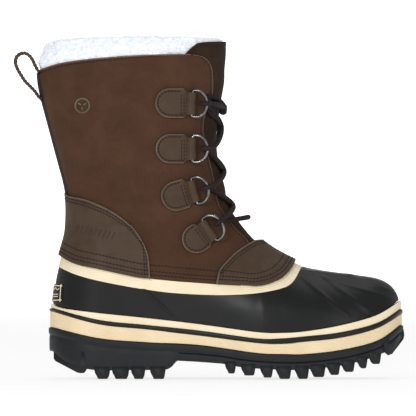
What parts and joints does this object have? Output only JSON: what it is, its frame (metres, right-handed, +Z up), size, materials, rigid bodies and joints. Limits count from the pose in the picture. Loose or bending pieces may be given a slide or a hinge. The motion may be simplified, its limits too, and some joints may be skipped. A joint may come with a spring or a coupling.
{
  "type": "insulated pac boot",
  "caption": "Laced leather pac boot with moulded rubber shell, felt liner with pile cuff, D-ring lacing, striped foxing and lugged outsole.",
  "frame": {"origin": "on the ground under the middle of the whole boot", "axes": "+X towards the toe, +Y towards the medial side, +Z up"},
  "size_m": [0.3448, 0.1158, 0.3012],
  "materials": {
    "nubuck": "matt oiled nubuck, mottled",
    "tongue_leather": "matt soft leather",
    "smooth_leather": "smooth fine-grained leather, low sheen",
    "tab_leather": "smooth fine-grained leather, low sheen",
    "cream_rubber": "satin cream rubber",
    "shell_rubber": "satin black moulded rubber",
    "outsole_rubber": "matt black rubber",
    "filler": "dull foam rubber",
    "board": "plain fibre board",
    "felt": "pressed wool felt",
    "pile": "white curly sherpa pile",
    "lace": "braided round lace",
    "badge": "black rubber with a plain cream line frame",
    "ring_steel": "bright nickel plated wire",
    "shank_steel": "spring steel strip"
  },
  "bodies": {
    "root": {"outsole": "outsole_rubber", "steel_shank": "shank_steel", "midsole_wedge": "cream_rubber", "sole_filler": "filler", "black_stripe": "shell_rubber", "welt_stripe": "cream_rubber", "rubber_shell": "shell_rubber", "shell_rim": "cream_rubber", "quarter_lateral": "nubuck", "quarter_medial": "nubuck", "heel_counter": "smooth_leather", "vamp_tip": "smooth_leather", "back_stay": "nubuck", "bellows_tongue": "tongue_leather", "felt_liner": "felt", "insole_board": "board", "footbed": "felt", "pile_cuff": "pile", "lace": "lace", "lace_knot": "lace", "heel_badge": "badge", "ring_tab_lateral_1": "tab_leather", "ring_tab_medial_1": "tab_leather", "ring_tab_lateral_2": "tab_leather", "ring_tab_medial_2": "tab_leather", "ring_tab_lateral_3": "tab_leather", "ring_tab_medial_3": "tab_leather", "ring_tab_lateral_4": "tab_leather", "ring_tab_medial_4": "tab_leather"},
    "d_ring_lateral_1": {"d_ring_lateral_1": "ring_steel"},
    "d_ring_medial_1": {"d_ring_medial_1": "ring_steel"},
    "d_ring_lateral_2": {"d_ring_lateral_2": "ring_steel"},
    "d_ring_medial_2": {"d_ring_medial_2": "ring_steel"},
    "d_ring_lateral_3": {"d_ring_lateral_3": "ring_steel"},
    "d_ring_medial_3": {"d_ring_medial_3": "ring_steel"},
    "d_ring_lateral_4": {"d_ring_lateral_4": "ring_steel"},
    "d_ring_medial_4": {"d_ring_medial_4": "ring_steel"},
    "pull_loop": {"pull_loop": "smooth_leather"}
  },
  "joints": [
    {"name": "ring_hinge_lateral_1", "type": "hinge", "parent": "root", "child": "d_ring_lateral_1", "pos_m": [-0.01452, -0.04506, 0.24246], "axis": [-0.0441, 0.0922, -0.9948], "range_deg": [-1, 3]},
    {"name": "ring_hinge_medial_1", "type": "hinge", "parent": "root", "child": "d_ring_medial_1", "pos_m": [-0.01452, 0.04368, 0.24246], "axis": [0.0441, 0.0922, 0.9948], "range_deg": [-1, 3]},
    {"name": "ring_hinge_lateral_2", "type": "hinge", "parent": "root", "child": "d_ring_lateral_2", "pos_m": [-0.01426, -0.04123, 0.20264], "axis": [-0.0069, 0.0131, -0.9999], "range_deg": [-1, 3]},
    {"name": "ring_hinge_medial_2", "type": "hinge", "parent": "root", "child": "d_ring_medial_2", "pos_m": [-0.01426, 0.03986, 0.20264], "axis": [0.0069, 0.0131, 0.9999], "range_deg": [-1, 3]},
    {"name": "ring_hinge_lateral_3", "type": "hinge", "parent": "root", "child": "d_ring_lateral_3", "pos_m": [-0.013, -0.04182, 0.16534], "axis": [0.2442, 0.0606, -0.9678], "range_deg": [-1, 3]},
    {"name": "ring_hinge_medial_3", "type": "hinge", "parent": "root", "child": "d_ring_medial_3", "pos_m": [-0.013, 0.04045, 0.16534], "axis": [-0.2442, 0.0606, 0.9678], "range_deg": [-1, 3]},
    {"name": "ring_hinge_lateral_4", "type": "hinge", "parent": "root", "child": "d_ring_lateral_4", "pos_m": [0.00037, -0.03871, 0.13096], "axis": [0.5749, -0.0038, -0.8182], "range_deg": [-1, 3]},
    {"name": "ring_hinge_medial_4", "type": "hinge", "parent": "root", "child": "d_ring_medial_4", "pos_m": [0.00035, 0.03701, 0.13068], "axis": [-0.5598, 0.0441, 0.8274], "range_deg": [-1, 3]},
    {"name": "pull_loop_sway", "type": "hinge", "parent": "root", "child": "pull_loop", "pos_m": [-0.15076, -0.00069, 0.2625], "axis": [-0.048, 0, 0.9988], "range_deg": [-10, 10]}
  ]
}
